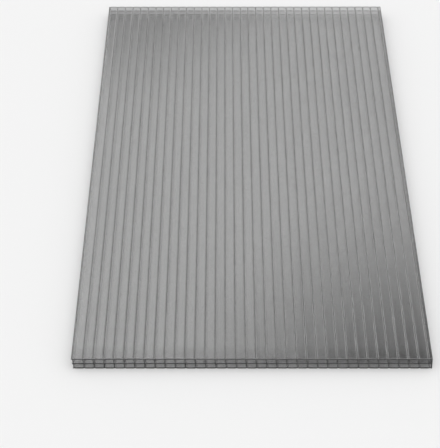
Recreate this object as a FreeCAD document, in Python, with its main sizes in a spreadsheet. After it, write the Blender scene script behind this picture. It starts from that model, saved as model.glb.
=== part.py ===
import FreeCAD, Part
import math
import os
import Sketcher

# Triple-wall extruded polycarbonate sheet: two skins and a middle wall, tied by thin ribs that
# run its whole length. It is one extrusion, so it is one body: a bar of the outer section, with
# the sink grooves and then every cell cut through it from end to end.
# X runs across the cells, Y along them and Z up. The sheet lies on Z = 0, centred on X and Y.

SIZES = [
    ("sheet_length", 1200.0, "cut length, along the cells"),
    ("sheet_thickness", 20.0, "over both skins"),
    ("cell_count", 35, "full cells across one tier"),
    ("rib_pitch", 16.9, "from rib to rib"),
    ("rib_wall", 0.6, "rib, measured sideways"),
    ("skin_wall", 0.8, "top and bottom skin"),
    ("middle_wall", 0.5, "wall between the two tiers"),
    ("side_wall", 0.7, "upright closing wall along the right side"),
    ("edge_chamber", 2.9, "narrow last cell, clear width on the bottom skin"),
    ("saw_stub", 1.9, "wall ends that the saw left beside the first rib"),
    ("rib_lean", 1.5, "sideways run of a rib from the top to the foot of its tier"),
    ("rib_step", 0.6, "how far a lower rib's head stands back from the upper rib's foot"),
    ("cell_radius", 1.5, "where a skin joins a rib, in a full cell"),
    ("chamber_radius", 1.0, "where a skin joins a wall, in the narrow cell"),
    ("groove_width", 4.2, "sink groove in a skin along each rib"),
    ("groove_depth", 0.7, "sink groove, below the skin's face"),
]

doc = FreeCAD.newDocument("multiwall")
sheet = doc.addObject("Spreadsheet::Sheet", "sizes")
for row, (alias, value, note) in enumerate(SIZES, start=1):
    sheet.set(f"A{row}", alias)
    sheet.set(f"B{row}", str(value))
    sheet.set(f"C{row}", note)
    sheet.setAlias(f"B{row}", alias)
doc.recompute()

# Heights of the wall faces.
TOP = "sizes.sheet_thickness"
UPPER_CEILING = "(sizes.sheet_thickness - sizes.skin_wall)"
UPPER_FLOOR = "((sizes.sheet_thickness + sizes.middle_wall) / 2)"
LOWER_CEILING = "((sizes.sheet_thickness - sizes.middle_wall) / 2)"
LOWER_FLOOR = "sizes.skin_wall"

# A rib leans to the right from its head under the top skin down to the middle wall, steps back
# there, and leans on to its foot: this is how far it has moved over at each wall face.
UPPER_FOOT_SHIFT = "sizes.rib_lean"
LOWER_HEAD_SHIFT = "(sizes.rib_lean - sizes.rib_step)"
FOOT_SHIFT = "(2 * sizes.rib_lean - sizes.rib_step)"
LEAN = [
    ("0", UPPER_CEILING),
    (UPPER_FOOT_SHIFT, UPPER_FLOOR),
    (LOWER_HEAD_SHIFT, LOWER_CEILING),
    (FOOT_SHIFT, LOWER_FLOOR),
]

# Places across the sheet, from its left edge.
HALF_RIB = "sizes.rib_wall / 2"
FIRST_HEAD = f"(sizes.saw_stub + {HALF_RIB})"
LAST_HEAD = f"({FIRST_HEAD} + sizes.cell_count * sizes.rib_pitch)"
CHAMBER_SIDE = f"({LAST_HEAD} + {HALF_RIB} + {FOOT_SHIFT} + sizes.edge_chamber)"
WIDTH = f"({CHAMBER_SIDE} + sizes.side_wall)"

# How a sketch names its own origin and the two ends of a curve.
ORIGIN = (-1, 1)
START, END = range(1, 3)


def origin_part(body, role):
    """The origin plane or axis of the body that has this role."""
    return next(item for item in body.Origin.OriginFeatures if item.Role == role)


def section_sketch(body, name):
    """An empty sketch on the upright plane across the cells, at mid-length."""
    sketch = body.newObject("Sketcher::SketchObject", name)
    sketch.AttachmentSupport = [(origin_part(body, "XZ_Plane"), "")]
    sketch.MapMode = "FlatFace"
    return sketch


def drive(sketch, constraint, expression):
    """Add a dimension to the sketch and bind it to the sizes."""
    index = sketch.addConstraint(constraint)
    sketch.setExpression(f"Constraints[{index}]", expression)


def drive_points(sketch, places):
    """Add guide points at (x, z) expressions, solve them, and give their numbers and places."""
    points = []
    for x, z in places:
        point = sketch.addGeometry(Part.Point(FreeCAD.Vector(1, 1, 0)), True)
        drive(sketch, Sketcher.Constraint("DistanceX", *ORIGIN, point, START, 1.0), x)
        drive(sketch, Sketcher.Constraint("DistanceY", *ORIGIN, point, START, 1.0), z)
        points.append(point)
    sketch.recompute()
    solved = [sketch.Geometry[point] for point in points]
    return points, [FreeCAD.Vector(item.X, item.Y, 0) for item in solved]


def arc_about(centre, start, end):
    """The arc that runs anticlockwise about centre from start to end."""
    first = math.atan2(start.y - centre.y, start.x - centre.x)
    last = math.atan2(end.y - centre.y, end.x - centre.x)
    circle = Part.Circle(centre, FreeCAD.Vector(0, 0, 1), (start - centre).Length)
    return Part.ArcOfCircle(circle, first, first + (last - first) % (2 * math.pi))


def corner_arc(before, here, after, radius):
    """The arc that rounds the corner here of an outline that runs anticlockwise."""
    back = (before - here).normalize()
    ahead = (after - here).normalize()
    half_angle = back.getAngle(ahead) / 2
    reach = radius / math.tan(half_angle)
    centre = here + (back + ahead).normalize() * (radius / math.sin(half_angle))
    return arc_about(centre, here + back * reach, here + ahead * reach)


def closed_loop(sketch, places, rounded=(), radius=None):
    """A closed outline through the places, listed anticlockwise, some of them rounded."""
    points, corners = drive_points(sketch, places)
    count = len(corners)
    shapes = {}
    for index in rounded:
        size = float(sheet.getPropertyByName(radius))
        shapes[index] = corner_arc(corners[index - 1], corners[index], corners[(index + 1) % count], size)
    lines = []
    for index in range(count):
        after = (index + 1) % count
        start = shapes[index].EndPoint if index in shapes else corners[index]
        end = shapes[after].StartPoint if after in shapes else corners[after]
        lines.append(sketch.addGeometry(Part.LineSegment(start, end)))
    for index, point in enumerate(points):
        line_before, line = lines[index - 1], lines[index]
        if index not in shapes:
            sketch.addConstraint(Sketcher.Constraint("Coincident", line_before, END, point, START))
            sketch.addConstraint(Sketcher.Constraint("Coincident", line, START, point, START))
            continue
        arc = sketch.addGeometry(shapes[index])
        sketch.addConstraint(Sketcher.Constraint("Tangent", line_before, END, arc, START))
        sketch.addConstraint(Sketcher.Constraint("Tangent", arc, END, line, START))
        sketch.addConstraint(Sketcher.Constraint("PointOnObject", point, START, line_before))
        sketch.addConstraint(Sketcher.Constraint("PointOnObject", point, START, line))
        drive(sketch, Sketcher.Constraint("Radius", arc, shapes[index].Radius), f"sizes.{radius}")


def cell_pair(sketch, left, right, right_leans, radius):
    """The upper and the lower cell from a rib's face to the next wall, which leans or is upright.
    The thick joints with the skins are rounded. The thin middle wall meets the ribs square."""
    left_face = [(f"{left} + {shift}", height) for shift, height in LEAN]
    right_face = [(f"{right} + {shift}" if right_leans else right, height) for shift, height in LEAN]
    upper = [left_face[0], left_face[1], right_face[1], right_face[0]]
    lower = [right_face[3], right_face[2], left_face[2], left_face[3]]
    closed_loop(sketch, upper, (0, 3), radius)
    closed_loop(sketch, lower, (0, 3), radius)


def sink_groove(sketch, middle, surface, deepest):
    """The shallow round groove where a skin sinks over a rib, closed along the skin's face."""
    half = "sizes.groove_width / 2"
    edges = [(f"{middle} - {half}", surface), (f"{middle} + {half}", surface)]
    (left, right, low), (left_place, right_place, low_place) = drive_points(
        sketch, edges + [(middle, deepest)])
    outward = (left_place + right_place) / 2 - low_place
    radius = (left_place - low_place).Length ** 2 / (2 * outward.Length)
    centre = low_place + outward.normalize() * radius
    if outward.y > 0:
        arc = sketch.addGeometry(arc_about(centre, left_place, right_place))
        left_end, right_end = START, END
    else:
        arc = sketch.addGeometry(arc_about(centre, right_place, left_place))
        left_end, right_end = END, START
    face = sketch.addGeometry(Part.LineSegment(left_place, right_place))
    sketch.addConstraint(Sketcher.Constraint("Coincident", face, START, left, START))
    sketch.addConstraint(Sketcher.Constraint("Coincident", face, END, right, START))
    sketch.addConstraint(Sketcher.Constraint("Coincident", arc, left_end, left, START))
    sketch.addConstraint(Sketcher.Constraint("Coincident", arc, right_end, right, START))
    sketch.addConstraint(Sketcher.Constraint("PointOnObject", low, START, arc))


def through_pocket(body, sketch, name):
    """Cut the sketch through the whole length, both ways from mid-length."""
    pocket = body.newObject("PartDesign::Pocket", name)
    pocket.Profile = sketch
    pocket.Type = "ThroughAll"
    pocket.SideType = "Symmetric"
    body.Tip = pocket
    return pocket


def repeat_across(body, name, cut, leftwards):
    """Repeat a cut once for every rib of the sheet, a rib pitch apart."""
    pattern = body.newObject("PartDesign::LinearPattern", name)
    pattern.Originals = [cut]
    pattern.Direction = (origin_part(body, "X_Axis"), [""])
    pattern.Reversed = leftwards
    pattern.Mode = "Spacing"
    pattern.setExpression("Offset", "sizes.rib_pitch")
    pattern.setExpression("Occurrences", "sizes.cell_count + 1")
    body.Tip = pattern


def multiwall_sheet():
    """The sheet: its outer section padded to length, then its sink grooves and its cells."""
    body = doc.addObject("PartDesign::Body", "multiwall_sheet")
    body.Label = "multiwall_sheet"

    # The left side is sawn close beside the first rib and slants as the ribs do.
    outline = section_sketch(body, "outer_section")
    closed_loop(outline, [(FOOT_SHIFT, "0"), (WIDTH, "0"), (WIDTH, TOP), ("0", TOP)])
    bar = body.newObject("PartDesign::Pad", "outer_bar")
    bar.Profile = outline
    bar.SideType = "Symmetric"
    bar.setExpression("Length", "sizes.sheet_length")
    body.Tip = bar

    # Each skin sinks a little where it cools over a rib: over its head and under its foot.
    grooves = section_sketch(body, "groove_pair")
    sink_groove(grooves, FIRST_HEAD, TOP, f"{TOP} - sizes.groove_depth")
    sink_groove(grooves, f"{FIRST_HEAD} + {FOOT_SHIFT}", "0", "sizes.groove_depth")
    repeat_across(body, "grooves", through_pocket(body, grooves, "first_groove_pair"), False)

    # The last full pair of cells is cut first. Its copies run to the left, and the last of them
    # opens through the sawn side, where it leaves the stubs of the three walls.
    cells = section_sketch(body, "last_cells")
    last_left = f"{LAST_HEAD} - sizes.rib_pitch + {HALF_RIB}"
    last_right = f"{LAST_HEAD} - {HALF_RIB}"
    cell_pair(cells, last_left, last_right, True, "cell_radius")
    repeat_across(body, "cells", through_pocket(body, cells, "last_cell_pair"), True)

    # The narrow cells along the right side end at the upright closing wall.
    chamber = section_sketch(body, "narrow_cells")
    cell_pair(chamber, f"{LAST_HEAD} + {HALF_RIB}", CHAMBER_SIDE, False, "chamber_radius")
    through_pocket(body, chamber, "narrow_cell_pair")

    body.setExpression("Placement.Base.x", f"-{WIDTH} / 2")
    return body


def export_all(bodies):
    """Solve the document, stop on any failed object or bad shape, and write one file a body."""
    doc.recompute()
    for item in doc.Objects:
        if {"Invalid", "Error"} & set(item.State):
            raise RuntimeError(f"{item.Name} failed: {item.State}")
    os.makedirs("parts", exist_ok=True)
    for body in bodies:
        shape = body.Shape
        if shape.isNull() or not shape.isValid() or len(shape.Solids) != 1:
            raise RuntimeError(f"{body.Label} isn't one valid solid")
        shape.exportStep(f"parts/{body.Label}.step")
        print(f"{body.Label}: {shape.Volume:.0f} cubic mm, {shape.BoundBox}")


export_all([multiwall_sheet()])
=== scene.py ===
import math

import bpy
import numpy as np
from mathutils import Matrix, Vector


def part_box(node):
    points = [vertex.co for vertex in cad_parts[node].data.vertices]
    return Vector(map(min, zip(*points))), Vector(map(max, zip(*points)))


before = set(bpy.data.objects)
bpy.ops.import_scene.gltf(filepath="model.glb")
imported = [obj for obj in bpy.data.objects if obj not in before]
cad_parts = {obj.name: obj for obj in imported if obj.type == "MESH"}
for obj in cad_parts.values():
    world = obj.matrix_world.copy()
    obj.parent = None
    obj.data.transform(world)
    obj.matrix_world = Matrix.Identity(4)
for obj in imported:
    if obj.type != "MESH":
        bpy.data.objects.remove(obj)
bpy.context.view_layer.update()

# Camera: it stands in front of the sheet and a little left of its middle, and looks down along the
# cells. Its place (m), angles (degrees) and lens (mm) put the sheet's four top corners where the
# photograph has them.
CAMERA_PLACE = (-0.0455, -2.8094, 1.9025)
CAMERA_DOWN = 36.0
CAMERA_TURN = 0.175
CAMERA_ROLL = -0.12
CAMERA_LENS = 140.26
CAMERA_REACH = 50.0

camera_data = bpy.data.cameras.new("camera")
camera_data.lens = CAMERA_LENS
camera_data.clip_end = CAMERA_REACH
camera = bpy.data.objects.new("camera", camera_data)
turn = Matrix.Rotation(math.radians(CAMERA_TURN), 4, "Z")
tip = Matrix.Rotation(math.radians(90.0 - CAMERA_DOWN), 4, "X")
roll = Matrix.Rotation(math.radians(CAMERA_ROLL), 4, "Z")
camera.matrix_world = Matrix.Translation(CAMERA_PLACE) @ turn @ tip @ roll
bpy.context.scene.collection.objects.link(camera)
bpy.context.scene.camera = camera

# The sheet: one extrusion of polycarbonate, tinted smoke grey in the mass and see-through. It comes
# glossy off the die, with faint lines along its ribs; both ends and the left side are sawn, which
# leaves matt faces and a burr. The sawn faces and a strip beside them are painted near black, and
# the cells are tinted darker a little way in from the ends: both are painted shade.
SHEET_LOW, SHEET_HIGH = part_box("multiwall_sheet")
END_Y, LEFT_X, RIGHT_X = SHEET_HIGH[1], SHEET_LOW[0], SHEET_HIGH[0]
POLYCARBONATE_IOR = 1.585
GLOSS_ROUGHNESS = 0.05

# The dye takes light all along its way through the plastic: its tint, and its strength per metre.
SMOKE_TINT = "#5a5a5a"
SMOKE_DENSITY = 100.0

# What a face lets through: a clear skin, and the same for a ray that goes straight on. The ends of the
# cells are tinted darker and the closing wall on the right darker still: both are painted shade, the
# wall's because it looks darker seen edge on. A sawn face lets nothing through, and its near-black
# colour is painted shade.
SKIN_TINT = "#ececec"
SHADOW_TINT = "#eaeaea"
END_SHADE_TINT = "#c4c4c4"
WALL_SHADE_TINT = "#848484"
SAWN_SHADE_COLOUR = "#131415"
SAWN_ROUGHNESS = 0.5

# How far the painted shade of the cell ends, the painted shade of the closing wall, and the burr with
# its painted shade reach in from their edge, in metres: all there up to the second depth, and gone past
# the first. The front end has only a share of the ends' painted shade.
END_SHADE_DEPTH = (0.042, 0.018)
FRONT_END_SHADE = 0.3
WALL_SHADE_DEPTH = (0.0018, 0.0008)
BURR_AND_SHADE_DEPTH = (0.0026, 0.0012)
SIDE_BURR_AND_SHADE_DEPTH = (0.0016, 0.0006)

# Relief: each pattern's size along X, Y and Z, and its height, in metres. The waves are the skins'
# own slight unevenness. The lines from the die are hairlines on a real sheet, and the marks of the
# saw are finer too: both are drawn coarser than they are, so that they show in the render.
DIE_LINE_SIZE = (0.003, 1.5, 1.5)
DIE_LINE_HEIGHT = 0.00007
WAVE_SIZE = (0.03, 0.5, 0.5)
WAVE_HEIGHT = 0.00015
SAW_MARK_SIZE = (0.0012, 1.0, 0.02)
SAW_MARK_HEIGHT = 0.0001
RIPPLE_DETAIL = 2.0


def linear(colour):
    """An sRGB hex colour as linear red, green, blue and 1."""
    values = [int(colour[start:start + 2], 16) / 255 for start in (1, 3, 5)]
    rgb = [v / 12.92 if v <= 0.04045 else ((v + 0.055) / 1.055) ** 2.4 for v in values]
    return (*rgb, 1.0)


def add(tree, kind, inputs=None, **settings):
    """Add a node with its settings, and link or set its inputs, which go by name or by number."""
    node = tree.nodes.new(kind)
    for name, value in settings.items():
        setattr(node, name, value)
    for name, value in (inputs or {}).items():
        if isinstance(value, bpy.types.NodeSocket):
            tree.links.new(value, node.inputs[name])
        else:
            node.inputs[name].default_value = value
    return node


def new_material(name):
    """An empty node material and its tree."""
    material = bpy.data.materials.new(name)
    material.use_nodes = True
    material.node_tree.nodes.clear()
    return material, material.node_tree


def smoke_polycarbonate():
    """Extruded smoke-grey polycarbonate, clear and glossy, with matt saw cuts painted near black as
    painted shade.

    To the eye each skin takes a little light and the ribs, which the light runs along, take more:
    the cells are pale stripes between soft dark lines, and the gloss mirrors the light all round.
    A shadow ray and a ray off the matt floor go straight through, so the floor below is lit.

    A Mix node has its factor at input 0. It mixes numbers at inputs 2 and 3 into output 0, and
    colours at inputs 6 and 7 into output 2.
    """
    material, tree = new_material("smoke-grey extruded polycarbonate")
    place = add(tree, "ShaderNodeTexCoord").outputs["Object"]
    axes = add(tree, "ShaderNodeSeparateXYZ", {0: place})
    from_middle = add(tree, "ShaderNodeMath", {0: axes.outputs["Y"]}, operation="ABSOLUTE")
    from_end = add(tree, "ShaderNodeMath", {0: END_Y, 1: from_middle.outputs[0]}, operation="SUBTRACT")
    from_left = add(tree, "ShaderNodeMath", {0: axes.outputs["X"], 1: LEFT_X}, operation="SUBTRACT")
    from_right = add(tree, "ShaderNodeMath", {0: RIGHT_X, 1: axes.outputs["X"]}, operation="SUBTRACT")

    def near(distance, depth):
        """How much of an edge's mark is here: one near the edge, and nothing past its depth."""
        limits = {"Value": distance.outputs[0], "From Min": depth[0], "From Max": depth[1]}
        return add(tree, "ShaderNodeMapRange", limits, interpolation_type="SMOOTHSTEP").outputs[0]

    def ripple(size, height):
        """Soft random relief: its size along X, Y and Z, and its height, in metres."""
        scale = [1 / length for length in size]
        stretched = add(tree, "ShaderNodeMapping", {"Vector": place, "Scale": scale})
        noise = add(tree, "ShaderNodeTexNoise", {
            "Vector": stretched.outputs[0],
            "Scale": 1.0,
            "Detail": RIPPLE_DETAIL,
        })
        return add(tree, "ShaderNodeMath", {0: noise.outputs["Fac"], 1: height}, operation="MULTIPLY")

    # The sawn faces and a strip beside them: matt and rough from the saw, and painted near black and
    # opaque as painted shade.
    sawn = add(tree, "ShaderNodeMath", {
        0: near(from_end, BURR_AND_SHADE_DEPTH),
        1: near(from_left, SIDE_BURR_AND_SHADE_DEPTH),
    }, operation="MAXIMUM")
    # Painted shade: the skins are tinted darker towards both ends of the cells, fully at the back and
    # only a share of it at the front.
    share = add(tree, "ShaderNodeMapRange", {
        "Value": axes.outputs["Y"],
        "From Min": -END_Y,
        "From Max": END_Y,
        "To Min": FRONT_END_SHADE,
    })
    end_shade = add(tree, "ShaderNodeMath", {
        0: near(from_end, END_SHADE_DEPTH),
        1: share.outputs[0],
    }, operation="MULTIPLY")

    # The clear skin, tinted darker by that painted shade near the ends.
    skin = add(tree, "ShaderNodeMix", {
        0: end_shade.outputs[0],
        6: linear(SKIN_TINT),
        7: linear(END_SHADE_TINT),
    }, data_type="RGBA")
    # Painted shade: the closing wall on the right is tinted darker, as it looks darker seen edge on.
    shaded_wall = add(tree, "ShaderNodeMix", {
        0: near(from_right, WALL_SHADE_DEPTH),
        6: skin.outputs[2],
        7: linear(WALL_SHADE_TINT),
    }, data_type="RGBA")
    # Painted shade: the sawn faces and their strip are painted near black.
    colour = add(tree, "ShaderNodeMix", {
        0: sawn.outputs[0],
        6: shaded_wall.outputs[2],
        7: linear(SAWN_SHADE_COLOUR),
    }, data_type="RGBA")
    rough = add(tree, "ShaderNodeMix", {0: sawn.outputs[0], 2: GLOSS_ROUGHNESS, 3: SAWN_ROUGHNESS})
    clarity = add(tree, "ShaderNodeMix", {0: sawn.outputs[0], 2: 1.0, 3: 0.0})

    lines = ripple(DIE_LINE_SIZE, DIE_LINE_HEIGHT)
    waves = ripple(WAVE_SIZE, WAVE_HEIGHT)
    marks = ripple(SAW_MARK_SIZE, SAW_MARK_HEIGHT)
    gloss = add(tree, "ShaderNodeMath", {0: lines.outputs[0], 1: waves.outputs[0]})
    relief = add(tree, "ShaderNodeMix", {0: sawn.outputs[0], 2: gloss.outputs[0], 3: marks.outputs[0]})
    bump = add(tree, "ShaderNodeBump", {"Height": relief.outputs[0], "Strength": 1.0, "Distance": 1.0})

    plastic = add(tree, "ShaderNodeBsdfPrincipled", {
        "Base Color": colour.outputs[2],
        "Roughness": rough.outputs[0],
        "IOR": POLYCARBONATE_IOR,
        "Transmission Weight": clarity.outputs[0],
        "Normal": bump.outputs[0],
    })
    path = add(tree, "ShaderNodeLightPath")
    unbent = add(tree, "ShaderNodeMath", {
        0: path.outputs["Is Shadow Ray"],
        1: path.outputs["Is Diffuse Ray"],
    }, operation="MAXIMUM")
    straight = add(tree, "ShaderNodeBsdfTransparent", {"Color": linear(SHADOW_TINT)})
    surface = add(tree, "ShaderNodeMixShader", {
        0: unbent.outputs[0],
        1: plastic.outputs[0],
        2: straight.outputs[0],
    })
    dye = add(tree, "ShaderNodeVolumeAbsorption", {"Color": linear(SMOKE_TINT), "Density": SMOKE_DENSITY})
    add(tree, "ShaderNodeOutputMaterial", {"Surface": surface.outputs[0], "Volume": dye.outputs[0]})
    return material


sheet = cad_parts["multiwall_sheet"]
sheet.data.materials.clear()
sheet.data.materials.append(smoke_polycarbonate())

# Floor: a plain pale studio floor, large enough to fill every view. It lies half a millimetre below
# the sheet, so that the two never share a plane.
FLOOR_HALF = 15.0
FLOOR_DROP = 0.0005
FLOOR_COLOUR = "#efefef"
FLOOR_ROUGHNESS = 0.9


def pale_floor():
    """Matt white paint: an even ground that takes a soft shadow and shows no reflection."""
    material, tree = new_material("matt white studio floor")
    matt = add(tree, "ShaderNodeBsdfPrincipled", {
        "Base Color": linear(FLOOR_COLOUR),
        "Roughness": FLOOR_ROUGHNESS,
    })
    add(tree, "ShaderNodeOutputMaterial", {"Surface": matt.outputs[0]})
    return material


corners = np.array([[-1, -1, 0], [1, -1, 0], [1, 1, 0], [-1, 1, 0]]) * FLOOR_HALF - [0, 0, FLOOR_DROP]
floor_mesh = bpy.data.meshes.new("floor")
floor_mesh.from_pydata(corners.tolist(), [], [(0, 1, 2, 3)])
floor = bpy.data.objects.new("floor", floor_mesh)
floor.data.materials.append(pale_floor())
bpy.context.scene.collection.objects.link(floor)

# Light: an even white tent all round, with a softbox and a broad backdrop glow behind the sheet, and
# two soft dark gaps, one high on the right and a fainter one low on the left. The glossy top mirrors
# them as its pale middle and its two dark corners.
TENT = 1.0

# Each patch of the sky: the direction of its middle as a unit vector, the distances from there at
# which it starts to fade and is gone, and what it adds to the tent, or takes from it as a share.
SOFTBOX = (-0.035, 0.659, 0.751)
SOFTBOX_EDGES = (0.175, 0.368)
SOFTBOX_GAIN = 0.35
BACKDROP = (0.0, 0.92, 0.39)
BACKDROP_EDGES = (0.45, 0.95)
BACKDROP_GAIN = 0.26
HIGH_GAP = (0.126, 0.715, 0.688)
HIGH_GAP_EDGES = (0.03, 0.182)
HIGH_GAP_DEPTH = 0.95
LOW_GAP = (-0.076, 0.925, 0.373)
LOW_GAP_EDGES = (0.125, 0.179)
LOW_GAP_DEPTH = 0.43

# A ray crosses many skins and ribs on its way through the sheet, and turns black where it stops.
BOUNCES = 24
STRAIGHT_BOUNCES = 64

world = bpy.data.worlds.new("soft studio light")
world.use_nodes = True
sky = world.node_tree
sky.nodes.clear()
direction = add(sky, "ShaderNodeTexCoord").outputs["Generated"]


def patch(centre, edges, inside, outside):
    """A soft round patch: one value up to its inner edge, the other past its outer edge."""
    away = add(sky, "ShaderNodeVectorMath", {0: direction, 1: centre}, operation="DISTANCE")
    return add(sky, "ShaderNodeMapRange", {
        "Value": away.outputs["Value"],
        "From Min": edges[0],
        "From Max": edges[1],
        "To Min": inside,
        "To Max": outside,
    }, interpolation_type="SMOOTHSTEP").outputs[0]


lit = add(sky, "ShaderNodeMath", {
    0: patch(SOFTBOX, SOFTBOX_EDGES, SOFTBOX_GAIN, 0.0),
    1: patch(BACKDROP, BACKDROP_EDGES, TENT + BACKDROP_GAIN, TENT),
})
high = add(sky, "ShaderNodeMath", {
    0: lit.outputs[0],
    1: patch(HIGH_GAP, HIGH_GAP_EDGES, 1.0 - HIGH_GAP_DEPTH, 1.0),
}, operation="MULTIPLY")
low = add(sky, "ShaderNodeMath", {
    0: high.outputs[0],
    1: patch(LOW_GAP, LOW_GAP_EDGES, 1.0 - LOW_GAP_DEPTH, 1.0),
}, operation="MULTIPLY")
around = add(sky, "ShaderNodeBackground", {"Color": linear("#ffffff"), "Strength": low.outputs[0]})
add(sky, "ShaderNodeOutputWorld", {"Surface": around.outputs[0]})

scene = bpy.context.scene
scene.world = world
scene.view_settings.view_transform = "Standard"
scene.cycles.max_bounces = BOUNCES
scene.cycles.transmission_bounces = BOUNCES
scene.cycles.transparent_max_bounces = STRAIGHT_BOUNCES
